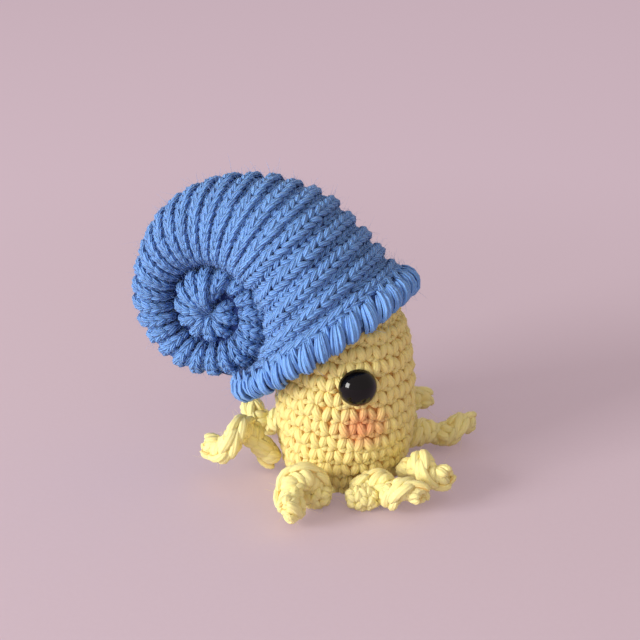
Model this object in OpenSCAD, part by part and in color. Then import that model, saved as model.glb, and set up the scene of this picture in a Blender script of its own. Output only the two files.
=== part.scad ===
// Crocheted ammonite figurine: a stuffed yellow body standing on a flat base panel, a ring of
// curly tentacles, two plastic safety eyes, and a ribbed blue shell coiled over the body's head.
// +Z is up, +X is the way the animal faces, the shell coils in the XZ plane, and the origin is
// the centre of the base panel on the table. Millimetres.

/* [Fabric] */
// Thickness of the crocheted body fabric
body_fabric = 2.4; // [1.6:0.1:3]
// Thickness of the crocheted shell fabric, on the crest of a rib
shell_fabric = 2.5; // [2:0.1:3]
// Gap kept between soft pieces that lie against each other
soft_gap = 0.3; // [0.2:0.05:0.5]
// Diameter of the yarn in the two sewn seams
seam_d = 1; // [0.8:0.1:1.2]

/* [Body] */
// Diameter of the body at its widest
body_d = 30.4; // [28:0.2:32]
// Height of the body's widest round
belly_z = 13; // [11:0.5:15]
// Height of the body from the table to the top of its head, inside the shell
body_h = 45; // [44:0.5:46]
// Diameter of the body where it stands on the table
foot_d = 26; // [23:0.5:27]
// Thickness of the base panel
base_t = 2.2; // [1.6:0.1:2.8]

/* [Eyes] */
// Diameter of the domed eye
eye_d = 8; // [7:0.5:9]
// How far the dome stands out from its flat back
eye_dome = 3.7; // [3:0.1:4.5]
// Height of the eyes above the table
eye_z = 25.5; // [24:0.5:26.5]
// Angle from straight ahead to each eye
eye_angle = 62; // [52:1:75]
// Diameter of the eye's post
post_d = 2.8; // [2:0.1:3.2]
// Length of the eye's post
post_l = 9; // [8:0.5:10]
// Diameter of the locking washer inside the body
washer_d = 7; // [6:0.5:8]
// Thickness of the locking washer
washer_t = 1.4; // [1:0.1:2]
// Running clearance of the post in its hole and of the eye on its seat
eye_clearance = 0.06; // [0.03:0.01:0.1]

/* [Tentacles] */
// Number of tentacles round the foot
tentacle_count = 8; // [6:1:8]
// How far the curled part of a tentacle reaches out from its root
tentacle_l = 16; // [14:0.5:17]
// Widest reach of the curl from its own axis
curl_r = 5.2; // [4.4:0.1:5.4]
// Thickness of the crocheted strip
strip_t = 2.6; // [2:0.1:2.8]
// Thickness of the sewn root that the tentacle bends at
root_d = 2.4; // [2:0.1:2.8]
// Width of the sewn root
root_w = 4.6; // [4:0.2:5]
// Height of the middle of the root above the table
root_z = 3.4; // [3:0.1:4.2]

/* [Shell] */
// Distance from the body's side back to the middle of the coil
coil_back = 15; // [14.5:0.1:16]
// Height of the middle of the coil above the table
coil_z = 33.5; // [32:0.5:36]
// Outer radius of the coil one turn behind the mouth
coil_r = 13; // [12:0.1:13.2]
// Times that the coil grows in each full turn
coil_growth = 2.1; // [2:0.05:2.3]
// How much further than the plain coil the last part flares
flare = 21; // [18:0.5:23]
// Depth of the tube across the coil, in parts of its width
tube_depth = 1.1; // [1:0.05:1.2]
// Gap between neighbouring turns of the coil
coil_gap = 0.7; // [0.5:0.1:1]
// Spacing of the ribs along the outer edge
rib_pitch = 4.6; // [4:0.2:6]
// Depth of the grooves between ribs
rib_depth = 0.8; // [0.4:0.1:1.1]

/* [Rim] */
// Height of the rim's middle line at the front
rim_front_z = 42.5; // [41:0.5:43]
// Height of the rim's middle line at the back
rim_back_z = 18; // [17:0.5:19]
// How far the rim's middle line lies behind the body
rim_overhang = 6; // [5.5:0.5:7]
// Thickness of the edging that is overcast round the rim
edging_d = 4.4; // [3.6:0.2:4.8]
// Width of one overcast stitch of the edging
edging_stitch = 3.4; // [3:0.1:4.4]
// Clearance of the rim round the body, which the seam draws shut
neck_clearance = 0.6; // [0.5:0.1:0.9]

/* [Hidden] */
$fn = 48;

// Colours of the yarns and the plastic
yellow_yarn = "#f3e08c";
blue_yarn = "#6a97dc";
filling = "#f2efe8";
black_plastic = "#15151a";

// Sharpness of the head's shoulders: 2 is an ellipse, and more is squarer
head_power = 3.2;
// Steps in each quarter of the body's outline
outline_steps = 12;

// The coil's tip, the end of its round part, and the place where the flare starts, as angles
// that wind down from the tip to the mouth and count from straight ahead up over the top
tip_angle = 770;
neck_angle = 45;
flare_angle = 150;
// How late the flare comes on: 1 is a straight cone, and more opens later
flare_power = 1.32;
// The angle over which the last turn closes in to fill the middle of the coil
core_angle = 100;
// How late the inner edge lifts away to the back of the mouth
lift_power = 3;
// Sides of the tube's sections, and rings of them in each rib
tube_sides = 16;
rib_rings = 3;
// Ribs from the mouth over which the shell is hollow, and over which the hollow has no filling
hollow_ribs = 23;
bare_ribs = 6;

// How each tentacle happens to lie: the heading of its root, how far it swings from that heading,
// its number of curls, less than 0 where they wind upwards, whether they are mirrored, the turn that
// they start at, and its length and the width of its curls in parts of the usual
tentacle_lie = [
    [-20, 0, -1.1, 0, -90, 0.74, 1.2], [-60, 42, 1.5, 0, 180, 0.95, 1.05],
    [-91, -6, -1.2, 0, -60, 1.05, 1.2], [-150, 0, -1.05, 1, -90, 0.95, 1.7],
    [160, 0, 1.5, 1, 180, 0.9, 1.1], [118, 0, 1.5, 0, 180, 0.95, 1],
    [68, 0, 1.5, 1, 180, 0.9, 1.1], [39, 0, 1.5, 0, 180, 1, 0.95]
];
curl_rings = 10;
curl_sides = 6;

function mix(a, b, t) = a + (b - a) * t;
function polar(r, q) = [r * cos(q), r * sin(q)];
function in_space(p, y) = [p[0], y, p[1]];

// The body's outline: a foot that swells to the belly, then a head with square shoulders
foot_r = foot_d / 2;
belly_r = body_d / 2;
head_h = body_h - belly_z;

function foot_outline(inset) = [
    for (i = [0:outline_steps])
    let (t = 90 * i / outline_steps)
    [mix(foot_r, belly_r, sin(t)) - inset, belly_z * i / outline_steps]
];

function head_outline(inset) = [
    for (i = [1:2 * outline_steps])
    let (t = 45 * i / outline_steps)
    [(belly_r - inset) * cos(t), belly_z + (head_h - inset) * pow(sin(t), 2 / head_power)]
];

function body_outline(inset) = concat([[0, 0]], foot_outline(inset), head_outline(inset));

// The body's radius at a height on the foot or on the head
function foot_r_at(z) = mix(foot_r, belly_r, sin(90 * z / belly_z));
function head_r_at(z) = belly_r * sqrt(1 - pow((z - belly_z) / head_h, head_power));

// Seats of the eyes: flats pressed into the fabric outside and inside, from the body's axis
eye_seat = sqrt(pow(head_r_at(eye_z), 2) - pow(eye_d / 2, 2));
washer_seat = eye_seat - body_fabric;
post_end = eye_seat + eye_clearance - post_l;

// The rim's plane, from the back of the edging up to the front, and the way it faces
coil_middle = [-belly_r - coil_back, coil_z];
rim_back = [-belly_r - rim_overhang, rim_back_z];
rim_front = [head_r_at(rim_front_z - edging_d / 2) + neck_clearance + edging_d / 2, rim_front_z];
rim_l = norm(rim_front - rim_back);
rim_up = (rim_front - rim_back) / rim_l;
rim_out = [rim_up[1], -rim_up[0]];
rim_half_l = rim_l / 2;
rim_half_w = head_r_at((rim_front_z + rim_back_z) / 2) + neck_clearance + edging_d / 2;
rim_seat = edging_d / 2 + soft_gap;

// The shell's own edges at the mouth, measured from the middle of the coil
mouth_back = rim_back - rim_out * rim_seat - rim_up * shell_fabric / 2 - coil_middle;
mouth_front = rim_front - rim_out * rim_seat + rim_up * shell_fabric / 2 - coil_middle;
mouth_half_w = rim_half_w + shell_fabric / 2;

// Outer and inner radius of the coiled tube at an angle of the coil
function coil_radius(q) = coil_r * pow(coil_growth, 1 - q / 360);
function outer_radius(q) = coil_radius(q) + flare * pow(max(0, 1 - q / flare_angle), flare_power);
function filled_core(q) = max(0, min(1, (tip_angle - 360 - q) / core_angle + 1));
function inner_radius(q) = coil_gap + outer_radius(q + 360) * filled_core(q);

// A station runs from 0 at the tip to 1 at the end of the round coil and 2 at the mouth
function angle_at(w) = mix(tip_angle, neck_angle, w);
neck_front = polar(outer_radius(neck_angle), neck_angle);
mouth_angle = atan2(mouth_back[1], mouth_back[0]);
mouth_lift = norm(mouth_back) - inner_radius(mouth_angle);

function outer_edge(w) = w <= 1
    ? polar(outer_radius(angle_at(w)), angle_at(w))
    : mix(neck_front, mouth_front, w - 1);

function inner_edge(w) = w <= 1
    ? polar(inner_radius(angle_at(w)), angle_at(w))
    : let (q = mix(neck_angle, mouth_angle, w - 1))
      polar(inner_radius(q) + mouth_lift * pow(w - 1, lift_power), q);

function half_width(w) = norm(outer_edge(w) - inner_edge(w)) / 2;
function half_depth(w) = w <= 1
    ? tube_depth * half_width(w)
    : mix(tube_depth * half_width(1), mouth_half_w, sin(90 * (w - 1)));

// Length along the tube's outer edge, by which the ribs are spaced
length_steps = 400;
edge_lengths = [
    for (i = 0, l = 0; i <= length_steps; l = l + norm(
        outer_edge(2 * (i + 1) / length_steps) - outer_edge(2 * i / length_steps)
    ), i = i + 1) [l, 2 * i / length_steps]
];
edge_l = edge_lengths[length_steps][0];
rib_count = round(edge_l / rib_pitch);
ring_count = rib_count * rib_rings;
function station(i) = lookup(edge_l * i / ring_count, edge_lengths);

// The rounded end of a tube, over its first rings
function end_round(i, rings) = i >= rings ? 1 : sqrt(1 - pow(1 - i / rings, 2));
tip_rings = 2 * rib_rings;
hollow_end_rings = 3;

// One section of the tube: an oval from its inner to its outer edge, drawn in by some depth
function section(w, inset, round = 1) = [
    for (k = [0:tube_sides - 1])
    let (t = -360 * k / tube_sides)
    let (middle = (outer_edge(w) + inner_edge(w)) / 2 + coil_middle)
    let (along = (outer_edge(w) - inner_edge(w)) / 2 / half_width(w))
    in_space(middle + along * ((half_width(w) - inset) * round * cos(t)),
        (half_depth(w) - inset) * round * sin(t))
];

function shell_ring(i) =
    section(station(i), i % rib_rings == 0 ? rib_depth : 0, end_round(i, tip_rings));
shell_rings = [for (i = [1:ring_count]) shell_ring(i)];
hollow_start = rib_count - hollow_ribs;

// The rings of the hollow from its end towards the mouth, one to a rib, with more room taken off
// for a filling
function hollow(room, first, last) = [
    for (i = [first:last])
    section(station(rib_rings * (hollow_start + i)), shell_fabric + room,
        end_round(i, hollow_end_rings))
];

function flat(rings) = [for (ring = rings) for (p = ring) p];
function centre(ring) = [for (k = [0:2]) [for (p = ring) p[k]] * [for (p = ring) 1] / len(ring)];

// Triangles that join one ring of points to the next, and that close a ring to one point
function band(a, b, n) = [
    for (k = [0:n - 1])
    let (m = (k + 1) % n)
    for (f = [[a + k, b + m, b + k], [a + k, a + m, b + m]]) f
];
function fan(a, tip, n) = [for (k = [0:n - 1]) [a + (k + 1) % n, a + k, tip]];
function turned(faces) = [for (f = faces) [f[0], f[2], f[1]]];
function bands(count, n, first = 0) = [
    for (i = [0:count - 2]) for (f = band((first + i) * n, (first + i + 1) * n, n)) f
];

// A solid through rings of points, closed at both ends
module skin(rings) {
    n = len(rings[0]);
    last = len(rings) - 1;
    points = concat(flat(rings), [centre(rings[0]), centre(rings[last])]);
    ends = concat(turned(fan(0, n * len(rings), n)), fan(last * n, n * len(rings) + 1, n));
    polyhedron(points, concat(turned(bands(len(rings), n)), ends));
}

// A solid through rings of points that close on themselves
module hoop(rings) {
    n = len(rings[0]);
    closing = band((len(rings) - 1) * n, 0, n);
    polyhedron(flat(rings), concat(turned(bands(len(rings), n)), turned(closing)));
}

// Least gap of a wound tube to itself, on points of rings that lie some number of rings apart
function least_gap(rings, apart) = min([
    for (i = [apart:len(rings) - 1])
    for (j = [0:i - apart])
    for (a = rings[i])
    for (b = rings[j]) norm(a - b)
]);

// Places along local +Z, which points out of the body at an eye
module at_eye(side) {
    rotate([0, 0, side * eye_angle])
        translate([0, 0, eye_z])
        rotate([0, 90, 0])
        children();
}

module eye_cuts() {
    for (side = [-1, 1]) at_eye(side) {
        cylinder(d = post_d + 2 * eye_clearance, h = body_d);
        translate([0, 0, eye_seat]) cylinder(d = eye_d + 2 * soft_gap, h = body_d);
        cylinder(d = washer_d + 2 * soft_gap, h = washer_seat);
    }
}

module body() {
    color(yellow_yarn) difference() {
        rotate_extrude() difference() {
            polygon(body_outline(0));
            polygon(body_outline(body_fabric));
        }
        eye_cuts();
    }
}

base_r = foot_r - body_fabric - seam_d - 2 * soft_gap;

module base_panel() {
    color(yellow_yarn) cylinder(r = base_r, h = base_t);
}

module base_seam() {
    color(yellow_yarn)
        rotate_extrude()
        translate([base_r + soft_gap + seam_d / 2, base_t / 2])
        circle(d = seam_d, $fn = 24);
}

module body_stuffing() {
    color(filling) difference() {
        rotate_extrude() intersection() {
            polygon(body_outline(body_fabric + soft_gap));
            translate([0, base_t + soft_gap]) square([body_d, body_h]);
        }
        for (side = [-1, 1]) at_eye(side)
            translate([0, 0, post_end - soft_gap])
            cylinder(d = washer_d + 2 * soft_gap, h = body_d);
    }
}

// A domed head with a flat back, and the post that the washer grips
module eye() {
    color(black_plastic) {
        translate([0, 0, eye_seat + eye_clearance]) rotate_extrude() polygon(concat(
            [[0, 0]],
            [for (i = [0:outline_steps]) let (t = 90 * i / outline_steps)
                [eye_d / 2 * cos(t), eye_dome * sin(t)]]
        ));
        translate([0, 0, post_end]) cylinder(d = post_d, h = post_l + eye_dome / 2);
    }
}

module eye_washer() {
    color(filling)
        translate([0, 0, washer_seat - eye_clearance - washer_t])
        difference() {
            cylinder(d = washer_d, h = washer_t);
            translate([0, 0, -washer_t])
                cylinder(d = post_d + 2 * eye_clearance, h = 3 * washer_t);
        }
}

module left_eye() { at_eye(1) eye(); }
module right_eye() { at_eye(-1) eye(); }
module left_eye_washer() { at_eye(1) eye_washer(); }
module right_eye_washer() { at_eye(-1) eye_washer(); }

// The shell: ribs outside from the tip to the mouth, then back in along the hollow
module shell() {
    outside = shell_rings;
    inside = hollow(0, 1, hollow_ribs);
    n = tube_sides;
    outer_count = len(outside);
    inner_count = len(inside);
    points = concat(flat(outside), flat(inside), [centre(outside[0]), centre(inside[0])]);
    tip = n * (outer_count + inner_count);
    mouth = band((outer_count - 1) * n, (outer_count + inner_count - 1) * n, n);
    faces = concat(
        turned(bands(outer_count, n)), turned(fan(0, tip, n)),
        bands(inner_count, n, outer_count), fan(outer_count * n, tip + 1, n),
        turned(mouth)
    );
    color(blue_yarn) polyhedron(points, faces);
}

// The overcast edging, as a bead with one bump to each stitch
edging_count = round(PI * (rim_half_l + rim_half_w) / edging_stitch);
edging_dip = edging_d / 10;
bead_sides = 8;

function rim_place(t) = (rim_front + rim_back) / 2 + rim_up * rim_half_l * cos(t);
function bead(t, r) = [
    for (k = [0:bead_sides - 1])
    let (u = 360 * k / bead_sides)
    in_space(
        rim_place(t) + rim_up * (r * cos(u) * cos(t)) + rim_out * (r * sin(u)),
        (rim_half_w + r * cos(u)) * sin(t)
    )
];

module shell_edging() {
    color(blue_yarn) hoop([
        for (i = [0:2 * edging_count - 1])
        bead(180 * i / edging_count, edging_d / 2 - edging_dip * (i % 2))
    ]);
}

// Filling in the coil, up to where the head comes in
module shell_stuffing() {
    color(filling) skin(hollow(soft_gap, 2, hollow_ribs - bare_ribs));
}

// The yarn that sews the shell to the head, just inside the rim, across the front and both sides
seam_rise = 3;
seam_sweep = 95;
seam_steps = 38;
seam_sides = 6;
seam_side_z = rim_front_z + seam_rise - rim_front[0] * rim_up[1] / rim_up[0];

function seam_ring(q) =
    let (z = mix(seam_side_z, rim_front_z, cos(q)))
    [for (k = [0:seam_sides - 1])
        let (u = 360 * k / seam_sides)
        let (r = head_r_at(z - seam_d / 2) + soft_gap + seam_d / 2 * (1 + cos(u)))
        [r * cos(q), r * sin(q), z + seam_d / 2 * sin(u)]];

module neck_seam() {
    color(blue_yarn) skin([
        for (i = [0:seam_steps]) seam_ring(mix(seam_sweep, -seam_sweep, i / seam_steps))
    ]);
}

// A strip that winds round its own axis as it leaves the foot, with its root at the origin
root_r = root_d / 2;
root_slope = 0.72;
root_sides = 16;
// The strip's width and thickness where it leaves the root, in parts of the root's and the usual
root_thinning = 0.6;
// The curls' width in parts of the usual, at the root and at the tip
root_fullness = 1.3;
tip_fullness = 0.7;

function curl_axis(fullness) = fullness * curl_r - root_z;
function curl_rise(s, fullness) = curl_axis(fullness) * min(1, s / curl_r);
function curl_reach(s, l, fullness) = min(
    root_thinning * root_r + root_slope * s,
    fullness * curl_r,
    fullness * curl_r * mix(root_fullness, tip_fullness, s / l),
    root_r + sqrt(max(0, l * l - s * s)) / 2
);

function strip_ring(s, turn, reach, back, rise, winding) =
    let (side = [0, cos(turn), sin(turn)])
    let (t = strip_t * min(1, root_thinning + s / curl_r))
    [for (k = [0:curl_sides - 1])
        let (u = winding * 360 * k / curl_sides)
        [s + t / 2 * sin(u), 0, rise]
            + side * ((reach - back) / 2 + (reach + back) / 2 * cos(u))];

function strip(curls, start, l, fullness) =
    let (count = round(abs(curls) * curl_rings))
    [for (i = [0:count])
        let (s = l * i / count)
        strip_ring(s, start - 360 * curls * i / count, curl_reach(s, l, fullness),
            i == 0 || i == count ? 0 : root_r / 2, curl_rise(s, fullness), sign(curls))];

// The sewn root: a round bar across the strip, which is the line that it bends on
function root_ring(y) = [
    for (k = [0:root_sides - 1])
    let (u = 360 * (k + 0.5) / root_sides)
    [root_r * cos(u), y, root_r * sin(u)]
];

module tentacle(heading, swing, curls, mirrored, start, l, fullness) {
    color(yellow_yarn)
        rotate([0, 0, heading])
        translate([foot_r_at(root_z) + soft_gap + root_r, 0, root_z]) {
            skin([root_ring(root_w / 2), root_ring(-root_w / 2)]);
            rotate([0, 0, swing]) mirror([0, mirrored, 0]) skin(strip(curls, start, l, fullness));
        }
}

union() {
    half_rings = [for (i = [0:2:ring_count - 1]) shell_rings[i]];
    echo(coil_least_gap = least_gap(half_rings, round(len(half_rings) / 5)));
    for (lie = tentacle_lie)
        echo(curl_least_gap = least_gap(
            strip(lie[2], lie[4], tentacle_l * lie[5], lie[6]), curl_rings / 2));
}

body();
base_panel();
base_seam();
body_stuffing();
left_eye();
right_eye();
left_eye_washer();
right_eye_washer();
shell();
shell_edging();
shell_stuffing();
neck_seam();
for (i = [1:tentacle_count])
    union() {
        lie = tentacle_lie[i - 1];
        tentacle(lie[0], lie[1], lie[2], lie[3], lie[4], tentacle_l * lie[5], lie[6]);
    }
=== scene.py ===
import math
import random

import bpy
import numpy as np
from mathutils import Matrix, Vector


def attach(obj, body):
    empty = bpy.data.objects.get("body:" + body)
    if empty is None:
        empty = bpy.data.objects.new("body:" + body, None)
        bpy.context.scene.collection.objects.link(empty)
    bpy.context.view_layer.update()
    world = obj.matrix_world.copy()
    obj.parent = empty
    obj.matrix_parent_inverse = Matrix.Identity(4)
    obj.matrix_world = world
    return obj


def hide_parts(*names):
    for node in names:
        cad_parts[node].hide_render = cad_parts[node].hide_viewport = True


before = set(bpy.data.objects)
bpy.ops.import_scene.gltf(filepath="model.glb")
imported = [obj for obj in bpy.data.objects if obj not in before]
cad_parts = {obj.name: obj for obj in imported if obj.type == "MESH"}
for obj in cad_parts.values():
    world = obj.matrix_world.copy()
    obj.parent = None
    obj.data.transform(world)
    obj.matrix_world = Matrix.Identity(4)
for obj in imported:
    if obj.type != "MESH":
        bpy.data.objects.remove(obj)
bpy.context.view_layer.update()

mm = 0.001
chance = random.Random(11)

# The body: a stuffed tube of pale yellow cotton, crocheted from the foot to the crown in one
# spiral of 24 stitches a round. Each stitch shows as a V of two plump legs of yarn, and the
# places between the legs are small holes, where a lining painted as shade shows through.
belly_r, belly_z, foot_r, body_h, head_power = 15.2, 13.0, 13.0, 45.0, 3.2
stitches_a_round, row_pitch, row_drift = 24, 3.4, 0.4
leg_w, leg_h, sunk_end, wobble = 1.1, 1.05, 0.8, 0.06
bar_share, bar_w, bar_h = 0.85, 0.74, 0.72
hair_r, hair_short, hair_long = 0.03, 0.6, 1.7
first_stitch, first_rise, top_row_z, foot_hole_r = -20, 1.9, 43.2, 10.4
eye_z, eye_angle, eye_r, eye_seat = 25.5, math.radians(62), 4.0, 14.5
cheek_r, cheek_z, cheek_angle = 15.0, 16.6, math.radians(58)


def deselect():
    if bpy.context.object and bpy.context.object.mode != "OBJECT":
        bpy.ops.object.mode_set(mode="OBJECT")
    bpy.ops.object.select_all(action="DESELECT")


def make_yarn_leg(sides):
    """One leg of a stitch: a spindle along Z with blunt ends, and its UV map, which runs round and
    along the yarn."""
    deselect()
    bpy.ops.mesh.primitive_uv_sphere_add(segments=sides, ring_count=sides, radius=1)
    leg = bpy.context.object
    bpy.ops.object.shade_smooth()
    mesh = leg.data
    points = np.array([v.co for v in mesh.vertices])
    faces = [tuple(p.vertices) for p in mesh.polygons]
    uvs = np.array([loop.uv for loop in mesh.uv_layers.active.data])
    bpy.data.objects.remove(leg)
    bpy.data.meshes.remove(mesh)
    girth = np.clip(1 - points[:, 2] ** 2, 0.0001, 1) ** -0.2
    points[:, :2] *= girth[:, None]
    return points, faces, uvs


plump_leg, slim_leg = make_yarn_leg(8), make_yarn_leg(6)


class Fabric:
    """Collects legs of yarn and their lining, and turns them into one mesh. Each leg has about as
    many loose fibres as fuzz says. A lower value of lines makes the yarn's own lines coarser. The
    legs carry painted shade, lighter on their outer side, and paler shifts that painted shade."""

    def __init__(self, strand, fuzz, lines=1.0, painted_light_shift=0.0):
        self.strand, self.fuzz, self.lines, self.painted_light_shift = strand, fuzz, lines, painted_light_shift
        self.points, self.faces, self.uvs, self.crest, self.lot = [], [], [], [], []
        self.count = 0

    def leg(self, start, bend_a, bend_b, end, face, width, height):
        """A leg along a curve from start to end, flat side towards face."""
        start, bend_a, bend_b, end = (np.asarray(p, float) for p in (start, bend_a, bend_b, end))
        shape, faces, uvs = self.strand
        s = (shape[:, 2:3] + 1) / 2
        t = 1 - s
        middle = start * t**3 + bend_a * 3 * s * t**2 + bend_b * 3 * s**2 * t + end * s**3
        along = (bend_a - start) * t**2 + (bend_b - bend_a) * 2 * s * t + (end - bend_b) * s**2
        along /= np.linalg.norm(along, axis=1, keepdims=True) + 1e-12
        face = np.asarray(face, float)
        if face.ndim == 2:
            face = face[0] * t + face[1] * s
        side = np.cross(face * np.ones_like(along), along)
        side /= np.linalg.norm(side, axis=1, keepdims=True) + 1e-12
        out = np.cross(along, side)
        points = middle + side * width * shape[:, 0:1] + out * height * shape[:, 1:2]
        # Painted shade: each leg is painted lighter on its outer side and darker on the side
        # towards the lining.
        crest = 0.5 + 0.5 * shape[:, 1] + self.painted_light_shift
        self.add(points, faces, uvs * self.lines, crest, chance.random())
        tops = np.flatnonzero(shape[:, 1] > 0.3)
        for _ in range(int(self.fuzz + chance.random())):
            k = tops[chance.randrange(len(tops))]
            self.hair(points[k] - 0.05 * out[k], out[k])

    def hair(self, root, out):
        """A loose fibre that stands off the yarn and bends over: a fine three-sided tube."""
        sway = np.array([chance.gauss(0, 0.6) for _ in range(3)])
        curl = np.array([chance.gauss(0, 0.5) for _ in range(3)])
        length = chance.uniform(hair_short, hair_long)
        rings = []
        for k in range(4):
            v = k / 3
            middle = root + length * v * (out + sway + curl * v)
            for turn in (0, 2.1, 4.2):
                rings.append(middle + hair_r * (1 - 0.7 * v) * np.array(
                    [math.cos(turn), math.sin(turn), 0.5 * math.sin(turn + 1)]))
        sides = [(3 * k + a, 3 * k + b, 3 * k + 3 + b, 3 * k + 3 + a)
                 for k in range(3) for a, b in ((0, 1), (1, 2), (2, 0))]
        faces = sides + [(2, 1, 0), (9, 10, 11)]
        # A fibre is painted nearly fully lit.
        self.add(np.array(rings), faces, np.zeros((42, 2)), 0.9, chance.random())

    def add(self, points, faces, uvs, crest, lot):
        base = self.count
        self.points.append(points)
        self.faces.extend(tuple(base + i for i in f) for f in faces)
        self.uvs.append(uvs)
        self.crest.append(np.broadcast_to(crest, len(points)))
        self.lot.append(np.full(len(points), lot))
        self.count += len(points)

    def lining(self, columns, rows, place, crest=0.0):
        """A sheet behind the legs: a grid whose corners are put where place(u, v) says. It is
        painted as the shade between the legs, darker the lower crest is.
        """
        deselect()
        bpy.ops.mesh.primitive_grid_add(x_subdivisions=columns, y_subdivisions=rows, size=2)
        sheet = bpy.context.object
        for v in sheet.data.vertices:
            v.co = Vector(place((v.co.x + 1) / 2, (v.co.y + 1) / 2)) * mm
        bpy.ops.object.mode_set(mode="EDIT")
        bpy.ops.mesh.select_all(action="SELECT")
        bpy.ops.mesh.remove_doubles(threshold=0.00001)
        bpy.ops.mesh.normals_make_consistent(inside=False)
        bpy.ops.object.mode_set(mode="OBJECT")
        mesh = sheet.data
        points = np.array([v.co for v in mesh.vertices]) / mm
        faces = [tuple(p.vertices) for p in mesh.polygons]
        self.add(points, faces, np.zeros((sum(map(len, faces)), 2)), crest, 0.5)
        bpy.data.objects.remove(sheet)
        bpy.data.meshes.remove(mesh)

    def made(self, name, material, body, slot, *nodes, fill=None, change=None):
        """The finished piece, in metres, riding on its body in place of its CAD nodes."""
        points = np.concatenate(self.points)
        if change:
            points = change(points)
        mesh = bpy.data.meshes.new(name)
        mesh.from_pydata(points * mm, [], self.faces)
        uv = mesh.uv_layers.new(name="yarn")
        uv.data.foreach_set("uv", np.concatenate(self.uvs).astype(np.float32).ravel())
        # Each point's painted light and shade, and each leg's random tone.
        for label, values in (("crest", self.crest), ("lot", self.lot)):
            layer = mesh.attributes.new(label, "FLOAT", "POINT")
            layer.data.foreach_set("value", np.concatenate(values).astype(np.float32))
        mesh.polygons.foreach_set("use_smooth", np.ones(len(mesh.polygons), bool))
        mesh.materials.append(material)
        piece = bpy.data.objects.new(name, mesh)
        bpy.context.scene.collection.objects.link(piece)
        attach(piece, body)
        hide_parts(*nodes)
        return piece


class Tint:
    """A value in a material: arithmetic on it adds Math nodes."""

    def __init__(self, tree, socket):
        self.tree, self.socket = tree, socket

    def node(self, kind, settings, inputs, output=0):
        """Adds a node, sets it up, feeds its sockets, and gives one of its outputs."""
        made = self.tree.nodes.new(kind)
        for name, value in settings.items():
            if name == "stops":
                ramp = made.color_ramp.elements
                while len(ramp) < len(value):
                    ramp.new(0.5)
                for stop, (place, colour) in zip(ramp, value):
                    stop.position, stop.color = place, colour
            else:
                setattr(made, name, value)
        for name, value in inputs.items():
            if isinstance(value, Tint):
                self.tree.links.new(value.socket, made.inputs[name])
            else:
                made.inputs[name].default_value = value
        return Tint(self.tree, made.outputs[output])

    def maths(self, operation, *values):
        return self.node("ShaderNodeMath", {"operation": operation}, dict(enumerate(values)))

    def __add__(self, other):
        return self.maths("ADD", self, other)

    def __sub__(self, other):
        return self.maths("SUBTRACT", self, other)

    def __rsub__(self, other):
        return self.maths("SUBTRACT", other, self)

    def __mul__(self, other):
        return self.maths("MULTIPLY", self, other)

    __radd__, __rmul__ = __add__, __mul__

    def mix(self, low, high):
        """A colour from low to high by this value."""
        return self.node("ShaderNodeMix", {"data_type": "RGBA"}, {0: self, 6: low, 7: high}, 2)

    def ramp(self, low, high):
        """0 below low, 1 above high, and smooth between."""
        return self.node("ShaderNodeMapRange", {"interpolation_type": "SMOOTHSTEP"},
                         {"Value": self, "From Min": low, "From Max": high})


def colour(code):
    """A colour from its hexadecimal code, in linear light."""
    parts = [int(code[i:i + 2], 16) / 255 for i in (1, 3, 5)]
    return tuple(c / 12.92 if c < 0.04045 else ((c + 0.055) / 1.055) ** 2.4 for c in parts) + (1,)


def new_finish(name):
    """A fresh material: its shader, and a Tint to start its maths from."""
    material = bpy.data.materials.new(name)
    material.use_nodes = True
    shader = material.node_tree.nodes["Principled BSDF"]
    return material, shader, Tint(material.node_tree, None)


def yarn(name, light, dark, plies, grain, full_at, blush=None):
    """Plied cotton yarn: strands that run slantwise round each leg, fine fibres, and painted shade:
    each leg's inner side, the lining between the legs and the grooves between the plies are painted
    darker. The colour shifts a little from leg to leg."""
    material, shader, start = new_finish(name)
    uv = start.node("ShaderNodeUVMap", {"uv_map": "yarn"}, {})
    split = start.node("ShaderNodeSeparateXYZ", {}, {0: uv})
    around, along = split, Tint(split.tree, split.socket.node.outputs[1])
    # Each point's painted light and shade, read from the mesh.
    crest = start.node("ShaderNodeAttribute", {"attribute_name": "crest"}, {}, "Fac")
    lot = start.node("ShaderNodeAttribute", {"attribute_name": "lot"}, {}, "Fac")
    place = start.node("ShaderNodeTexCoord", {}, {}, "Object")
    strands = start.node("ShaderNodeCombineXYZ", {}, {0: around * 52, 1: along * 5, 2: lot * 90})
    fibre = start.node("ShaderNodeTexNoise", {}, {"Vector": strands, "Scale": 1.0, "Detail": 2.0})
    cloud = start.node("ShaderNodeTexNoise", {}, {"Vector": place, "Scale": 260.0, "Detail": 1.0})
    lay = (around * plies + along * (0.15 * plies) + lot) * (2 * math.pi)
    ply = lay.maths("SINE", lay) * 0.5 + 0.5
    # Painted shade and tone: each point's painted light sets most of the mix from dark to light,
    # ply grooves are painted darker, and fibres, each leg's lot and a soft cloud vary the tone.
    shade = (crest * 0.8 + ply * grain + fibre * 0.32 + lot * 0.2 + cloud * 0.2
             - 0.32 - 0.5 * grain).ramp(0.0, full_at)
    tone = shade.mix(dark, light)
    if blush:
        tone = blush(start, place, cloud, shade, tone)
    bump = start.node("ShaderNodeBump", {}, {
        "Strength": 1.0, "Distance": 0.0002, "Height": ply * (3 * grain) + fibre * 0.6})
    tree = material.node_tree
    tree.links.new(tone.socket, shader.inputs["Base Color"])
    tree.links.new((fibre * 0.3 + 0.5).socket, shader.inputs["Roughness"])
    tree.links.new(bump.socket, shader.inputs["Normal"])
    shader.inputs["Subsurface Weight"].default_value = 0.2
    shader.inputs["Subsurface Radius"].default_value = (1, 0.7, 0.4)
    shader.inputs["Subsurface Scale"].default_value = 0.001
    shader.inputs["Sheen Weight"].default_value = 0.1
    shader.inputs["Sheen Roughness"].default_value = 0.45
    shader.inputs["Specular IOR Level"].default_value = 0.3
    return material


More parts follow.
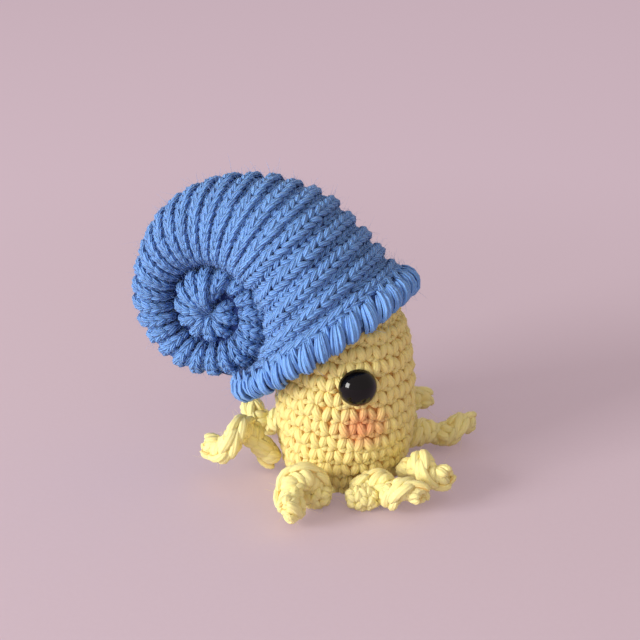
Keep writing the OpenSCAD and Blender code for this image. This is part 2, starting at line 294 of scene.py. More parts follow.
def cheeks(start, place, cloud, shade, tone):
    """Coral blush rubbed on the stitches under each eye, soft at its edge. Where the yarn is
    painted in shade, the blush is painted in a darker coral.
    """
    for side in (-1, 1):
        turn = side * cheek_angle
        spot = Vector((cheek_r * math.cos(turn), cheek_r * math.sin(turn), cheek_z)) * mm
        offset = start.node("ShaderNodeVectorMath", {"operation": "SUBTRACT"}, {0: place, 1: spot})
        offset = start.node("ShaderNodeVectorMath", {"operation": "MULTIPLY"},
                            {0: offset, 1: (0.9, 0.9, 1.2)})
        away = start.node("ShaderNodeVectorMath", {"operation": "LENGTH"}, {0: offset}, "Value")
        rubbed = (1 - (away + cloud * 0.004).ramp(0.003, 0.0088)) * 0.72
        # Dark coral in the yarn's painted shade, light coral where it is painted lit.
        tone = rubbed.mix(tone, shade.mix(colour("#c4562f"), colour("#f0936a")))
    return tone


# Each yarn's two colours are its colour where painted lit and its colour in painted shade.
yellow_yarn = yarn("yellow_yarn", colour("#fff2a6"), colour("#dba238"), 7, 0.16, 0.68)
body_yarn = yarn("body_yarn", colour("#f8e697"), colour("#bd7e1e"), 10, 0.14, 0.8, cheeks)


def body_radius(z):
    if z <= belly_z:
        return foot_r + (belly_r - foot_r) * math.sin(math.pi / 2 * z / belly_z)
    return belly_r * math.sqrt(max(0, 1 - ((z - belly_z) / (body_h - belly_z)) ** head_power))


outline_z = np.concatenate([np.linspace(0, 40, 81), body_h - 5 * np.linspace(1, 0, 41)[1:] ** 2])
outline_r = np.array([body_radius(z) for z in outline_z])
outline_l = np.concatenate([[0], np.cumsum(np.hypot(np.diff(outline_r), np.diff(outline_z)))])


def on_body(length, turn, depth=0.0):
    """The place on the body's outside at a length up its outline and a turn round it, and the
    way that it faces there."""
    z = np.interp(length, outline_l, outline_z)
    r = np.interp(length, outline_l, outline_r)
    near = max(length, 0.2)
    dz = np.interp(near + 0.2, outline_l, outline_z) - np.interp(near - 0.2, outline_l, outline_z)
    dr = np.interp(near + 0.2, outline_l, outline_r) - np.interp(near - 0.2, outline_l, outline_r)
    lean = math.hypot(dz, dr) + 1e-9
    face = np.array([math.cos(turn) * dz / lean, math.sin(turn) * dz / lean, -dr / lean])
    return np.array([r * math.cos(turn), r * math.sin(turn), z]) - face * depth, face


def press_in_eyes(points):
    """Flattens the fabric under each eye, and keeps it off the table."""
    for side in (-1, 1):
        out = np.array([math.cos(eye_angle), side * math.sin(eye_angle), 0])
        reach = points @ out
        across = np.linalg.norm(points - np.outer(reach, out) - [0, 0, eye_z], axis=1)
        under = np.clip((eye_r + 0.9 - across) / 0.7, 0, 1)
        over = np.where(reach > 0, np.maximum(0, reach - (eye_seat - 0.1)), 0)
        points = points - np.outer(over * under, out)
    points[:, 2] = np.maximum(points[:, 2], 0.0)
    return points


body = Fabric(plump_leg, 1.3)
# The lining is painted as the shade in the holes; the ring under the foot is painted in full shade.
body.lining(48, 60, lambda u, v: on_body(v * outline_l[-1], 2 * math.pi * u, 1.1)[0], 0.25)
body.lining(48, 3, lambda u, v: (
    (foot_hole_r + v * (foot_r - 1.15 - foot_hole_r)) * math.cos(2 * math.pi * u),
    (foot_hole_r + v * (foot_r - 1.15 - foot_hole_r)) * math.sin(2 * math.pi * u), 0.4))
stitch = first_stitch
while True:
    rise = first_rise + row_pitch * stitch / stitches_a_round
    if np.interp(rise, outline_l, outline_z) > top_row_z:
        break
    turn = -2 * math.pi * stitch * (1 + row_drift / stitches_a_round) / stitches_a_round
    width = 2 * math.pi / stitches_a_round
    r = np.interp(rise, outline_l, outline_r)
    rise += wobble * row_pitch * chance.uniform(-1, 1)
    for side in (-1, 1):
        j = [chance.uniform(-1, 1) for _ in range(6)]
        low = turn + width * (side * 0.1 + 0.05 * j[0])
        high = turn + width * (side * 0.38 + 0.05 * j[1])
        start, face_a = on_body(rise - (0.37 + wobble * j[4]) * row_pitch, low, leg_h + sunk_end)
        end, face_b = on_body(rise + (0.38 + wobble * j[2]) * row_pitch, high, leg_h + sunk_end)
        bend_a, _ = on_body(rise - 0.3 * row_pitch, low, leg_h - 0.5 + 0.25 * j[5])
        bend_b, _ = on_body(rise + 0.26 * row_pitch, high, leg_h - 0.5 + 0.25 * j[5])
        body.leg(start, bend_a, bend_b, end, (face_a, face_b),
                 leg_w * (r / belly_r) ** 0.5 * (1 + 0.1 * j[3]), leg_h * (1 + 0.08 * j[4]))
        if chance.random() < bar_share:
            bar = [on_body(rise - (0.36 + a * 0.2 + wobble * j[k]) * row_pitch,
                           turn + width * side * a, d)[0]
                   for k, a, d in ((0, 0.2, 1.8), (1, 0.28, 0.7), (2, 0.42, 0.7), (3, 0.52, 1.8))]
            body.leg(*bar, (face_a, face_b), bar_w, bar_h)
    stitch += 1
body.made("body_fabric", body_yarn, "figure", "yellow_yarn", "body", fill=0.9, change=press_in_eyes)

# The base panel: a flat crocheted disc of the same yellow cotton that closes the foot, worked in
# rounds from its middle. The figure stands on it and on the edge of the foot round it.
panel = Fabric(plump_leg, 0)
panel_r, panel_low, panel_t = 9.0, 0.9, 2.2
# The panel's linings are painted in full shade.
panel.lining(36, 4, lambda u, v: (
    panel_r * v * math.cos(2 * math.pi * u), panel_r * v * math.sin(2 * math.pi * u), panel_low))
panel.lining(36, 4, lambda u, v: (
    panel_r * v * math.cos(2 * math.pi * u), panel_r * v * math.sin(2 * math.pi * u), panel_t))
panel.lining(36, 1, lambda u, v: (
    panel_r * math.cos(2 * math.pi * u), panel_r * math.sin(2 * math.pi * u),
    panel_low + v * (panel_t - panel_low)))
for ring, count in enumerate((6, 12, 18)):
    r = 1.6 + 3.0 * ring
    for i in range(count):
        for side in (-1, 1):
            turn = 2 * math.pi * (i + 0.25 * ring) / count
            low, high = (turn + 2 * math.pi / count * side * a for a in (0.12, 0.3))
            ends = [(q * math.cos(a), q * math.sin(a), z) for q, a, z in (
                (r - 1.5, low, 1.3), (r - 0.7, low, 0.55),
                (r + 0.7, high, 0.55), (r + 1.4, high, 1.3))]
            panel.leg(*ends, (0, 0, -1), 0.85, 0.7)
panel.made("base_panel_fabric", yellow_yarn, "figure", "yellow_yarn", "base_panel", fill=0.4,
           change=lambda points: np.maximum(points, [-99, -99, 0]))

# The base seam: a length of yellow yarn that whips the panel's edge to the body all round, in
# small slanting stitches.
whipping = Fabric(slim_leg, 0)
whip_count, thread_w, thread_h = 36, 0.45, 0.4
for i in range(whip_count):
    turn, step = 2 * math.pi * i / whip_count, 2 * math.pi / whip_count
    ends = [(q * math.cos(turn + a * step), q * math.sin(turn + a * step), z) for q, a, z in (
        (9.45, -0.5, 0.95), (9.6, -0.2, 0.75), (10.0, 0.4, 0.9), (10.15, 0.7, 1.2))]
    whipping.leg(*ends, (0, 0, -1), thread_w, thread_h)
whipping.made("base_seam_yarn", yellow_yarn, "figure", "yellow_yarn", "base_seam")

# The eyes: black moulded plastic safety eyes with a polished dome. A post goes through the
# fabric, and a white washer grips it inside, so an eye can still turn in its hole.
eye_black, shader, start = new_finish("eye_black")
place = start.node("ShaderNodeTexCoord", {}, {}, "Object")
smear = start.node("ShaderNodeTexNoise", {}, {"Vector": place, "Scale": 700.0, "Detail": 2.0})
eye_black.node_tree.links.new((smear * 0.06 + 0.05).socket, shader.inputs["Roughness"])
eye_black.node_tree.links.new(smear.mix(colour("#060506"), colour("#0a090b")).socket,
                              shader.inputs["Base Color"])
shader.inputs["Specular IOR Level"].default_value = 0.32
washer_white, shader, start = new_finish("washer_white")
place = start.node("ShaderNodeTexCoord", {}, {}, "Object")
grain = start.node("ShaderNodeTexNoise", {}, {"Vector": place, "Scale": 1500.0})
washer_white.node_tree.links.new((grain * 0.2 + 0.4).socket, shader.inputs["Roughness"])
washer_white.node_tree.links.new(grain.mix(colour("#e6e4de"), colour("#f4f2ec")).socket,
                                 shader.inputs["Base Color"])
eye_dome, post_r, post_l = 3.7, 1.4, 9.0
for name, side in (("left", 1), ("right", -1)):
    deselect()
    bpy.ops.mesh.primitive_uv_sphere_add(segments=48, ring_count=32, radius=eye_r * mm)
    eye = bpy.context.object
    bpy.ops.object.mode_set(mode="EDIT")
    bpy.ops.mesh.select_all(action="SELECT")
    bpy.ops.transform.resize(value=(1, 1, eye_dome / eye_r))
    bpy.ops.mesh.bisect(plane_co=(0, 0, 0.0002), plane_no=(0, 0, 1), use_fill=True,
                        clear_inner=True)
    bpy.ops.mesh.inset(thickness=(eye_r - post_r) * mm)
    bpy.ops.mesh.extrude_region_move(TRANSFORM_OT_translate={"value": (0, 0, -post_l * mm)})
    bpy.ops.mesh.select_all(action="SELECT")
    bpy.ops.mesh.normals_make_consistent(inside=False)
    bpy.ops.object.mode_set(mode="OBJECT")
    bpy.ops.object.shade_smooth_by_angle(angle=math.radians(40))
    turn = Matrix.Rotation(side * eye_angle, 4, "Z") @ Matrix.Translation((0, 0, eye_z * mm))
    seat = Matrix.Rotation(math.pi / 2, 4, "Y") @ Matrix.Translation((0, 0, (eye_seat + 0.06) * mm))
    eye.data.transform(turn @ seat)
    eye.name = eye.data.name = name + "_eye_dome"
    eye.data.materials.append(eye_black)
    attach(eye, "eye_" + name)
    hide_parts(name + "_eye")
    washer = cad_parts[name + "_eye_washer"]
    washer.data.materials.clear()
    washer.data.materials.append(washer_white)

# The tentacles: eight narrow crocheted strips sewn to the foot. Each has more stitches along its
# outer edge than along its inner one, so it winds like a corkscrew, with a chain of Vs on the edge.
root_z, root_out, root_r, root_thinning = 3.4, 15.379, 1.2, 0.6
tentacle_l, curl_r, root_slope = 16.0, 5.2, 0.72
# heading, swing from it, number of curls, hand, first turn's angle, length and fullness
tentacle_lie = (
    (-20, 0, -1.1, 1, -90, 0.74, 1.2), (-60, 42, 1.5, 1, 180, 0.95, 1.05),
    (-91, -6, -1.2, 1, -60, 1.05, 1.2), (-150, 0, -1.05, -1, -90, 0.95, 1.7),
    (160, 0, 1.5, -1, 180, 0.9, 1.1), (118, 0, 1.5, 1, 180, 0.95, 1),
    (68, 0, 1.5, -1, 180, 0.9, 1.1), (39, 0, 1.5, 1, 180, 1, 0.95))
cord_stitch, cord_w, cord_t, cord_relief = 3.2, 2.4, 1.9, 0.9
lift_limits = (20, 20, 20, 20, 20, 25, 25, 25)
lift_press, root_press, root_lean = 0.2, 1.0, 0.6
# two front strips start with a turn that lies on the table: half its length, width and height
first_turns = {2: (4.1, 2.8, 2.7), 3: (3.4, 2.8, 3.0)}
turn_out, turn_stitches = 4.2, 6
for number, (heading, swing, curls, hand, first, length, fullness) in enumerate(tentacle_lie, 1):
    length *= tentacle_l
    root = root_out * np.array([math.cos(math.radians(heading)), math.sin(math.radians(heading))])
    away = np.array([*root, 0]) / root_out
    lift = math.tan(math.radians(lift_limits[number - 1]))
    lead = math.radians(heading + swing)
    ahead = np.array([math.cos(lead), math.sin(lead), 0])
    aside = hand * np.array([-ahead[1], ahead[0], 0])
    path, outward = [], []
    for s in np.linspace(0, length, 300):
        turn = math.radians(first) - 2 * math.pi * curls * s / length
        rise = (fullness * curl_r - root_z) * min(1, s / curl_r)
        reach = min(root_thinning * root_r + root_slope * s, fullness * curl_r,
                    fullness * curl_r * (1.3 - 0.6 * s / length),
                    root_r + math.sqrt(max(0, length**2 - s**2)) / 2)
        out = aside * math.cos(turn) + np.array([0, 0, math.sin(turn)])
        path.append([*root, root_z + rise] + ahead * s
                    + out * max(0, reach - cord_w - cord_relief))
        outward.append(out)
    path, outward = np.array(path), np.array(outward)
    along = np.gradient(path, axis=0)
    along /= np.linalg.norm(along, axis=1, keepdims=True)
    outward -= along * np.sum(outward * along, axis=1, keepdims=True)
    outward /= np.linalg.norm(outward, axis=1, keepdims=True)
    over = np.cross(along, outward)
    path_l = np.concatenate([[0], np.cumsum(np.linalg.norm(np.diff(path, axis=0), axis=1))])

    def on_cord(l, a, b):
        """A place l along the cord, a out from its middle towards its outer edge, and b across. It
        leans off the body, to leave room for the strip to be lifted."""
        at = lambda rows: np.array([np.interp(l, path_l, rows[:, k]) for k in range(3)])
        past = l - min(max(l, 0), path_l[-1])
        point = at(path) + at(along) * past + at(outward) * a + at(over) * b
        high = point[2] - root_z
        room = min(high * lift - lift_press, high * root_lean - root_press)
        return point + away * max(0, room + root_out - point @ away)

    # The strip's legs are painted in less shade than the body's, and its lining, seen between the
    # legs, in mid shade.
    tentacle = Fabric(plump_leg, 1.4, 1.0, 0.25)

    def cord_lining(u, v):
        thin = math.sqrt(min(1, max(0, (1 - v) * path_l[-1] / 1.5), 0.4 + v * path_l[-1] / 3))
        return on_cord(v * path_l[-1], (cord_w - 0.5) * thin * math.cos(2 * math.pi * u),
                       (cord_t - 0.4) * thin * math.sin(2 * math.pi * u))

    tentacle.lining(12, 60, cord_lining, 0.6)
    count = round(path_l[-1] / cord_stitch)
    for i in range(count):
        at = lambda k: path_l[-1] * (i + k) / count
        out_face = np.array([on_cord(at(k), 1, 0) - on_cord(at(k), 0, 0) for k in (0.1, 0.9)])
        over_face = np.array([on_cord(at(k), 0, 1) - on_cord(at(k), 0, 0) for k in (0.1, 0.9)])
        slim = 0.8 if i == count - 1 else 1
        for side in (-1, 1):
            j = [chance.uniform(-1, 1) for _ in range(8)]
            tentacle.leg(on_cord(at(-0.35), 1.6, side * 0.2),
                         on_cord(at(0.1), 2.8 * slim, side * 0.4),
                         on_cord(at(0.65 + 0.1 * j[1]), 2.85 * slim, side * (1.35 + 0.2 * j[5])),
                         on_cord(at(1.15), 1.5 * slim, side * 1.2),
                         out_face, 1.05 * (1 + 0.12 * j[0]), 0.9)
            tentacle.leg(on_cord(at(0.0 + 0.12 * j[2]), -1.6, side * 0.6),
                         on_cord(at(0.2), -0.7, side * (1.9 + 0.15 * j[3]) * slim),
                         on_cord(at(0.5), 0.7, side * (1.9 + 0.15 * j[3]) * slim),
                         on_cord(at(0.7 + 0.12 * j[2]), 1.8 * slim, side * 0.6),
                         over_face * side, 1.2 * (1 + 0.12 * j[4]), 1.0)
            tentacle.leg(on_cord(at(0.45 + 0.12 * j[2]), -1.7, side * 0.7),
                         on_cord(at(0.65), -1.1, side * (1.9 + 0.15 * j[5]) * slim),
                         on_cord(at(0.85), 0.2, side * (1.95 + 0.15 * j[5]) * slim),
                         on_cord(at(1.0 + 0.12 * j[2]), 1.2 * slim, side * 0.6),
                         over_face * side, 1.05 * (1 + 0.12 * j[6]), 1.0)
            tentacle.leg(on_cord(at(-0.15), -1.1, side * 0.3),
                         on_cord(at(0.15), -2.45 * slim, side * 0.6),
                         on_cord(at(0.8), -2.4 * slim, side * (0.9 + 0.2 * j[6])),
                         on_cord(at(1.1), -1.1, side * 0.5),
                         -out_face, 1.15 * (1 + 0.12 * j[7]), 1.0)
    if number in first_turns:
        half_l, half_w, half_h = first_turns[number]
        middle = away * (root_out + turn_out) + [0, 0, half_h]
        sideways = np.array([-away[1], away[0], 0])

        def on_turn(x, turn, depth):
            """A place on the strip's first turn: x along it, turn round it, and a depth in it."""
            full = math.sqrt(max(0, 1 - (x / half_l) ** 2))
            return (middle + sideways * x + away * ((half_w * full - depth) * math.cos(turn))
                    + np.array([0, 0, (half_h * full - depth) * math.sin(turn)]))

        # The first turn's lining is painted in mid shade.
        tentacle.lining(16, 10, lambda u, v: on_turn(
            -(half_l - 0.6) * math.cos(math.pi * v), 2 * math.pi * u,
            0.9 * math.sin(math.pi * v)), 0.5)
        for row in (-0.55, 0.0, 0.55):
            for k in range(turn_stitches):
                for side in (-1, 1):
                    j = [chance.uniform(-1, 1) for _ in range(3)]
                    turn = 2 * math.pi * (k + row + 0.1 * j[0]) / turn_stitches
                    step = 2 * math.pi / turn_stitches
                    x = row * half_l
                    ends = [on_turn(x + side * a, turn + b * step, d) for a, b, d in (
                        (0.2, -0.5, 1.3), (0.4, -0.2, 0.0),
                        (1.0 + 0.2 * j[1], 0.35, 0.0), (1.1, 0.7, 1.3))]
                    face = ends[1] + ends[2] - 2 * middle - 2 * sideways * x
                    tentacle.leg(*ends, face, 0.95 * (1 + 0.12 * j[2]), 0.85)
    tentacle.made(f"tentacle_{number}_strip", yellow_yarn, f"limb_{number}", "yellow_yarn",
                  f"tentacle_{number}", change=lambda points: np.maximum(points, [-99, -99, 0.05]))

# The shell: one long tapering tube of cornflower blue cotton, worked round and round in ribs of
# braided Vs and coiled flat. It flares to a wide mouth that sits on the head like a cap.
coil_middle = np.array([-30.2, 33.5])
coil_r, coil_growth, flare, tube_depth, coil_gap = 13.0, 2.1, 21.0, 1.1, 0.7
tip_angle, neck_angle, flare_angle, flare_power, core_angle = 770.0, 45.0, 150.0, 1.32, 36.0
rib_pitch, shell_fabric, edging_d, neck_clearance, soft_gap = 4.6, 2.5, 4.4, 0.6, 0.3
rim_front_z, rim_back_z, rim_back_out = 42.5, 18.0, 6
rim_back = np.array([-belly_r - rim_back_out, rim_back_z])
rim_front = np.array([body_radius(rim_front_z - edging_d / 2) + neck_clearance + edging_d / 2,
                      rim_front_z])
rim_half_l = np.linalg.norm(rim_front - rim_back) / 2
rim_up = (rim_front - rim_back) / (2 * rim_half_l)
rim_out = np.array([rim_up[1], -rim_up[0]])
rim_half_w = body_radius((rim_front_z + rim_back_z) / 2) + neck_clearance + edging_d / 2
seat_d = edging_d / 2 + soft_gap
mouth_back = rim_back - rim_out * seat_d - rim_up * shell_fabric / 2 - coil_middle
mouth_front = rim_front - rim_out * seat_d + rim_up * shell_fabric / 2 - coil_middle
mouth_half_w = rim_half_w + shell_fabric / 2


def polar(r, q):
    return np.array([r * math.cos(math.radians(q)), r * math.sin(math.radians(q))])


def outer_radius(q):
    return (coil_r * coil_growth ** (1 - q / 360)
            + flare * max(0, 1 - q / flare_angle) ** flare_power)


def inner_radius(q):
    return coil_gap + outer_radius(q + 360) * min(1, max(0, (tip_angle - 360 - q) / core_angle + 1))


mouth_angle = math.degrees(math.atan2(mouth_back[1], mouth_back[0]))
mouth_lift = np.linalg.norm(mouth_back) - inner_radius(mouth_angle)
neck_front = polar(outer_radius(neck_angle), neck_angle)


def tube_edges(w):
    """Outer and inner edge of the tube at a station: 0 the tip, 1 the neck, 2 the mouth."""
    if w <= 1:
        q = tip_angle + (neck_angle - tip_angle) * w
        return polar(outer_radius(q), q), polar(inner_radius(q), q)
    q = neck_angle + (mouth_angle - neck_angle) * (w - 1)
    return (neck_front + (mouth_front - neck_front) * (w - 1),
            polar(inner_radius(q) + mouth_lift * (w - 1) ** 3, q))


def half_sizes(w):
    outer, inner = tube_edges(w)
    wide = np.linalg.norm(outer - inner) / 2
    if w <= 1:
        return wide, tube_depth * wide
    outer, inner = tube_edges(1)
    deep = tube_depth * np.linalg.norm(outer - inner) / 2
    return wide, deep + (mouth_half_w - deep) * math.sin(math.pi / 2 * (w - 1))


whorl_press = 0.8
stations = np.linspace(0, 2, 401)
edge = np.array([tube_edges(w)[0] for w in stations])
edge_l = np.concatenate([[0], np.cumsum(np.linalg.norm(np.diff(edge, axis=0), axis=1))])
rib_count = round(edge_l[-1] / rib_pitch)


def on_shell(rib, t, depth):
    """A place on the shell: ribs along the tube from the tip, t round it from its outer edge, and
    a depth below the crests. The turns press into each other, so the inner edge is drawn in."""
    w = float(np.interp(edge_l[-1] * rib / rib_count, edge_l, stations))
    outer, inner = tube_edges(w)
    deep = half_sizes(w)[1]
    press = whorl_press * min(1, max(0, 3 - 2 * w))
    inner = inner - (outer - inner) / np.linalg.norm(outer - inner) * press
    wide = np.linalg.norm(outer - inner) / 2
    tip = math.sqrt(1 - (1 - max(rib, 0.02) / 0.9) ** 2) if rib < 0.9 else 1
    middle = (outer + inner) / 2 + coil_middle
    flat = middle + (outer - inner) / (2 * wide) * ((wide - depth) * tip * math.cos(t))
    return np.array([flat[0], (deep - depth) * tip * math.sin(t), flat[1]])


# The blue yarn's colour where painted lit and its colour in painted shade.
blue_yarn = yarn("blue_yarn", colour("#7bb0f5"), colour("#0a2a6a"), 7, 0.4, 0.95)
shell = Fabric(slim_leg, 1.7)
outside_share, hollow_ribs = 0.75, 23
web_r, web_tongue, web_t = 14, 2.6, 0.8
shell_stitch, covered_from = 2.0, 400
shell_leg_w, shell_leg_h, valley = 0.72, 0.64, 1.25


def shell_lining(u, v):
    """Out from the tip to the mouth, over its edge, and back in along the hollow."""
    t = 2 * math.pi * u
    if v <= outside_share:
        rib = rib_count * v / outside_share
        return on_shell(rib, t, 1.2 + 0.35 * math.cos(2 * math.pi * rib))
    back = (v - outside_share) / (1 - outside_share)
    point = on_shell(rib_count - hollow_ribs * back, t, shell_fabric)
    end = (on_shell(rib_count - hollow_ribs, 0, shell_fabric)
           + on_shell(rib_count - hollow_ribs, math.pi, shell_fabric)) / 2
    shut = max(0, (back - 0.9) / 0.1)
    return point * (1 - shut) + end * shut


# The shell's lining, seen between the legs, is painted in near full shade.
shell.lining(40, 4 * rib_count * 4 // 3, shell_lining, 0.05)


def coil_web(u, v):
    """A thin lens between the turns, where they are sewn together, painted in full shade. It
    reaches out to the mouth.
    """
    turn = 2 * math.pi * u
    reach = web_r + web_tongue * max(0, math.cos(turn + math.radians(60))) ** 8
    flat = coil_middle + reach * math.sin(math.pi * v) * np.array([math.cos(turn), math.sin(turn)])
    return flat[0], web_t * math.cos(math.pi * v), flat[1]


shell.lining(36, 8, coil_web, -0.3)
for row in range(1, 2 * rib_count):
    mid = row / 2
    sunk = 0.0 if row % 2 else valley
    w = float(np.interp(edge_l[-1] * mid / rib_count, edge_l, stations))
    wide, deep = half_sizes(w)
    covered = tip_angle + (neck_angle - tip_angle) * w > covered_from
    count = max(6, round(math.pi * (wide + deep) / shell_stitch))
    offset = chance.random()
    step = 2 * math.pi / count
    for i in range(count):
        t = step * (i + offset + 0.12 * chance.uniform(-1, 1))
        over = on_shell(mid + 0.5, t, 0.8) - on_shell(mid - 0.5, t, 0.8)
        pitch = np.linalg.norm(over)
        if sunk and pitch < 2:
            continue
        run = on_shell(mid, t + 0.6 * step, 0.8) - on_shell(mid, t, 0.8)
        face = np.cross(run, over)
        face /= np.linalg.norm(face) + 1e-9
        if np.dot(face, on_shell(mid, t, 0.0) - on_shell(mid, t, 2.0)) < 0:
            face = -face
        width, height = shell_leg_w * (min(1, pitch / 4) if sunk else 1), shell_leg_h
        # Painted shade: legs deep in the groove at the tube's inner edge, and at a covered outer
        # edge, are painted darker.
        groove_shade = max(0, -math.cos(t)) ** 6 + (max(0, math.cos(t)) ** 6 if covered else 0)
        shell.painted_light_shift = -0.5 * groove_shade
        sink = sunk * (0.72 + 0.28 * max(0, math.cos(t)))
        for side in (-1, 1):
            j = [chance.uniform(-1, 1) for _ in range(5)]
            near = mid + side * (0.03 + 0.03 * j[0])
            far = mid + side * (0.24 + 0.04 * j[1])
            d = sink + height + 0.14 * j[4]
            shell.leg(on_shell(near, t - 0.25 * step, d + 0.4),
                      on_shell(near + side * 0.03, t + (0.2 + 0.1 * j[2]) * step, d - 0.6),
                      on_shell(far - side * 0.03, t + (0.85 + 0.12 * j[2]) * step,
                               d - 0.5 + 0.2 * (sunk == 0)),
                      on_shell(far + side * 0.02, t + 1.4 * step, d + 0.45),
                      face + side * 0.3 * over / (pitch + 1e-9), width * (1 + 0.13 * j[3]), height)
shell.made("shell_fabric", blue_yarn, "figure", "blue_yarn", "shell", fill=0.85)

# The edging: the shell's mouth is overcast with thick yarn, so that its rim is a row of bundles
# of parallel strands, each bundle lapping a little way up the outside of the shell.
# The bundles are painted in less shade than the shell's legs.
edging = Fabric(plump_leg, 1.5, 0.6, 0.22)
bundle_pitch, strand_w, strand_h, gap_w, gap_h = 3.4, 0.56, 0.54, 0.52, 0.5
bundle_count = round(math.pi * (rim_half_l + rim_half_w) / bundle_pitch)
rim_middle = (rim_front + rim_back) / 2


def on_rim(t, out, down):
    """A place by the rim: t round it from its front, out in its own plane, and down from it."""
    outward = np.array([math.cos(t) / rim_half_l, math.sin(t) / rim_half_w])
    outward /= np.linalg.norm(outward)
    flat = rim_middle + rim_up * (rim_half_l * math.cos(t) + out * outward[0]) + rim_out * down
    return np.array([flat[0], rim_half_w * math.sin(t) + out * outward[1], flat[1]])


# The lining between and under the bundles is painted as dark shade.
edging.lining(16, 96, lambda u, v: on_rim(
    2 * math.pi * v, 1.4 * math.cos(2 * math.pi * u), 2.6 * math.sin(2 * math.pi * u) - 1.2), 0.2)
for i in range(bundle_count):
    lean = -0.34 + 0.14 * chance.uniform(-1, 1)
    size = 1 + 0.14 * chance.uniform(-1, 1)
    slip = 0.08 * chance.uniform(-1, 1)
    sag = 0.35 * chance.uniform(-1, 1)
    step = 2 * math.pi / bundle_count
    for ply in (-1.5, -0.5, 0.5, 1.5):
        t = step * (i + slip)
        spread = 0.225 * ply * size
        lift = 1.15 - 0.5 * ply**2 + 0.18 * chance.uniform(-1, 1)
        j = [chance.uniform(-1, 1) for _ in range(3)]
        ends = [on_rim(t + (0.5 * spread - lean) * step, 1.0 + 0.3 * lift, -3.3 + 0.5 * j[0]),
                on_rim(t + (1.0 * spread - 0.5 * lean + 0.07 * j[1]) * step, 3.1 + lift, -2.0),
                on_rim(t + (1.1 * spread + 0.5 * lean + 0.07 * j[2]) * step, 2.5 + lift,
                       1.8 + lift + sag),
                on_rim(t + (0.8 * spread + lean) * step, -0.6, 1.6 + sag)]
        middle = on_rim(t, 0, 0)
        edging.leg(*ends, (ends[1] - middle, ends[2] - middle), strand_w * size, strand_h)
    for gap in (0.36, 0.5, 0.64):
        t = step * (i + gap + 0.05 * chance.uniform(-1, 1))
        j = [chance.uniform(-1, 1) for _ in range(2)]
        ends = [on_rim(t - (lean + gap - 0.5) * step, 0.7, -4.6 + 0.4 * j[0]),
                on_rim(t - 0.5 * lean * step, 1.75 + 0.2 * j[1], -2.8),
                on_rim(t + 0.5 * lean * step, 1.75 + 0.2 * j[1], 0.2),
                on_rim(t + lean * step, -0.4, 1.2)]
        middle = on_rim(t, 0, 0)
        edging.leg(*ends, (ends[1] - middle, ends[2] - middle), gap_w, gap_h)
edging.made("shell_edging_yarn", blue_yarn, "figure", "blue_yarn", "shell_edging", fill=0.7)

# The neck seam: small stitches in the shell's own yarn, hidden behind the rim. They hold the front
# half of the shell's mouth to the head.
seam = Fabric(slim_leg, 0)
seam_count, seam_half_turn, seam_over = 40, 95, 3
side_z = rim_front_z + seam_over - rim_front[0] * rim_up[1] / rim_up[0]
for i in range(seam_count):
    ends = []
    for k in (-0.7, -0.2, 0.3, 0.8):
        q = math.radians(-seam_half_turn + 2 * seam_half_turn * (i + 0.5 + k) / seam_count)
        z = side_z + (rim_front_z - side_z) * math.cos(q)
        r = body_radius(z - 0.5) + 0.8 + (0.25 if abs(k) < 0.5 else 0)
        ends.append((r * math.cos(q), r * math.sin(q), z + 0.25 * k))
    seam.leg(*ends, (math.cos(q), math.sin(q), 0), thread_w, thread_h)
seam.made("neck_seam_yarn", blue_yarn, "figure", "blue_yarn", "neck_seam")

# The filling: loose white polyester fibre, pushed into the body and into the shell's coil. It keeps
# both of them round and firm, and none of it shows from outside.
clump_size = 0.9
filling, shader, start = new_finish("filling")
place = start.node("ShaderNodeTexCoord", {}, {}, "Object")
wisps = start.node("ShaderNodeTexNoise", {}, {"Vector": place, "Scale": 900.0, "Detail": 4.0})
filling.node_tree.links.new(wisps.mix(colour("#dcd9d2"), colour("#f6f4ef")).socket,
                            shader.inputs["Base Color"])
filling.node_tree.links.new((wisps * 0.2 + 0.75).socket, shader.inputs["Roughness"])
for node in ("body_stuffing", "shell_stuffing"):
    deselect()
    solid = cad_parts[node]
    clump = bpy.data.objects.new(node + "_fibre", solid.data.copy())
    bpy.context.scene.collection.objects.link(clump)
    bpy.context.view_layer.objects.active = clump
    clump.select_set(True)
    bpy.ops.object.mode_set(mode="EDIT")
    bpy.ops.mesh.select_all(action="SELECT")
    bpy.ops.mesh.remove_doubles(threshold=0.00002)
    bpy.ops.object.mode_set(mode="OBJECT")
    remesh = clump.modifiers.new("clump", "REMESH")
    remesh.mode, remesh.voxel_size = "VOXEL", clump_size * mm
    bpy.ops.object.modifier_apply(modifier=remesh.name)
    smooth = clump.modifiers.new("soften", "SMOOTH")
    smooth.factor, smooth.iterations = 0.5, 4
    bpy.ops.object.modifier_apply(modifier=smooth.name)
    bpy.ops.object.shade_smooth()
    clump.data.materials.clear()
    clump.data.materials.append(filling)
    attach(clump, "figure")
    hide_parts(node)

# The studio: a pale pink table top, a large soft window light from the front left, and the camera
# a hand's width away, a little above the figure.
deselect()
bpy.ops.mesh.primitive_plane_add(size=6)
floor = bpy.context.object
floor.name = "table_top"
card, shader, start = new_finish("pink_card")
place = start.node("ShaderNodeTexCoord", {}, {}, "Object")
paper = start.node("ShaderNodeTexNoise", {}, {"Vector": place, "Scale": 900.0, "Detail": 2.0})
pink = paper.mix(colour("#d5c3ce"), colour("#d8c7d2"))
card.node_tree.links.new(pink.socket, shader.inputs["Base Color"])
shader.inputs["Roughness"].default_value = 0.9
shader.inputs["Specular IOR Level"].default_value = 0.1
glow = start.node("ShaderNodeEmission", {}, {"Color": colour("#d3bac6"), "Strength": 1.0})
ray = start.node("ShaderNodeLightPath", {}, {}, "Is Camera Ray")
glossy = Tint(ray.tree, ray.socket.node.outputs["Is Glossy Ray"])
through = Tint(ray.tree, ray.socket.node.outputs["Is Transmission Ray"])
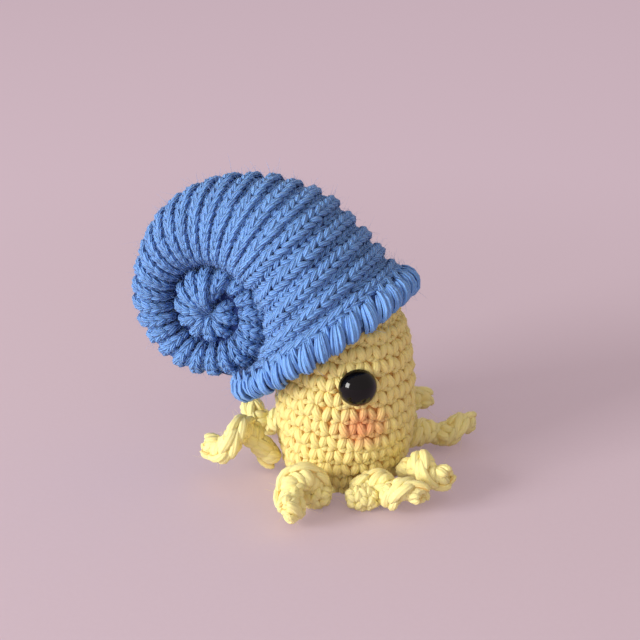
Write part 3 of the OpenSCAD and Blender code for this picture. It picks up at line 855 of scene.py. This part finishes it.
seen = ray.maths("MINIMUM", ray + glossy + through, 1.0)
away = start.node("ShaderNodeVectorMath", {"operation": "LENGTH"}, {0: place}, "Value")
share = away.ramp(0.06, 0.3) * 0.4 + 0.25
plain = Tint(ray.tree, shader.outputs[0])
shown = start.node("ShaderNodeMixShader", {}, {0: seen * share, 1: plain, 2: glow})
card.node_tree.links.new(shown.socket, card.node_tree.nodes["Material Output"].inputs["Surface"])
floor.data.materials.append(card)


def lamp(name, place, size, power, mirrored):
    """A square soft light that faces the figure."""
    data = bpy.data.lights.new(name, "AREA")
    data.shape, data.size, data.energy, data.color = "SQUARE", size, power, (1, 0.98, 0.95)
    light = bpy.data.objects.new(name, data)
    light.location = place
    light.visible_glossy = mirrored
    aim = Vector((-0.005, 0, 0.025)) - Vector(place)
    light.rotation_euler = aim.to_track_quat("-Z", "Y").to_euler()
    bpy.context.scene.collection.objects.link(light)


lamp("window", (-0.74, -0.82, 0.36), 0.46, 13.0, True)
lamp("room", (-0.10, -1.08, 0.42), 0.8, 1.8, False)
world = bpy.data.worlds.new("studio")
world.use_nodes = True
world.node_tree.nodes["Background"].inputs["Color"].default_value = colour("#f1e2df")
world.node_tree.nodes["Background"].inputs["Strength"].default_value = 0.62
bpy.context.scene.world = world

view_data = bpy.data.cameras.new("photo_view")
photo_px, focal_px, camera_away = 640, 1204, 0.26
view_data.sensor_width = 36
view_data.lens = 36 * focal_px / photo_px
view_data.shift_x, view_data.shift_y = -25 / photo_px, 63 / photo_px
view_data.clip_start, view_data.clip_end = 0.01, 20
photo_view = bpy.data.objects.new("photo_view", view_data)
bpy.context.scene.collection.objects.link(photo_view)
azimuth, elevation = math.radians(18), math.radians(24)
back = Vector((math.sin(azimuth) * math.cos(elevation), -math.cos(azimuth) * math.cos(elevation),
               math.sin(elevation)))
photo_view.location = Vector((0, 0, 0.02)) + back * camera_away
photo_view.rotation_euler = (-back).to_track_quat("-Z", "Y").to_euler()
bpy.context.scene.camera = photo_view
bpy.context.scene.view_settings.view_transform = "Standard"
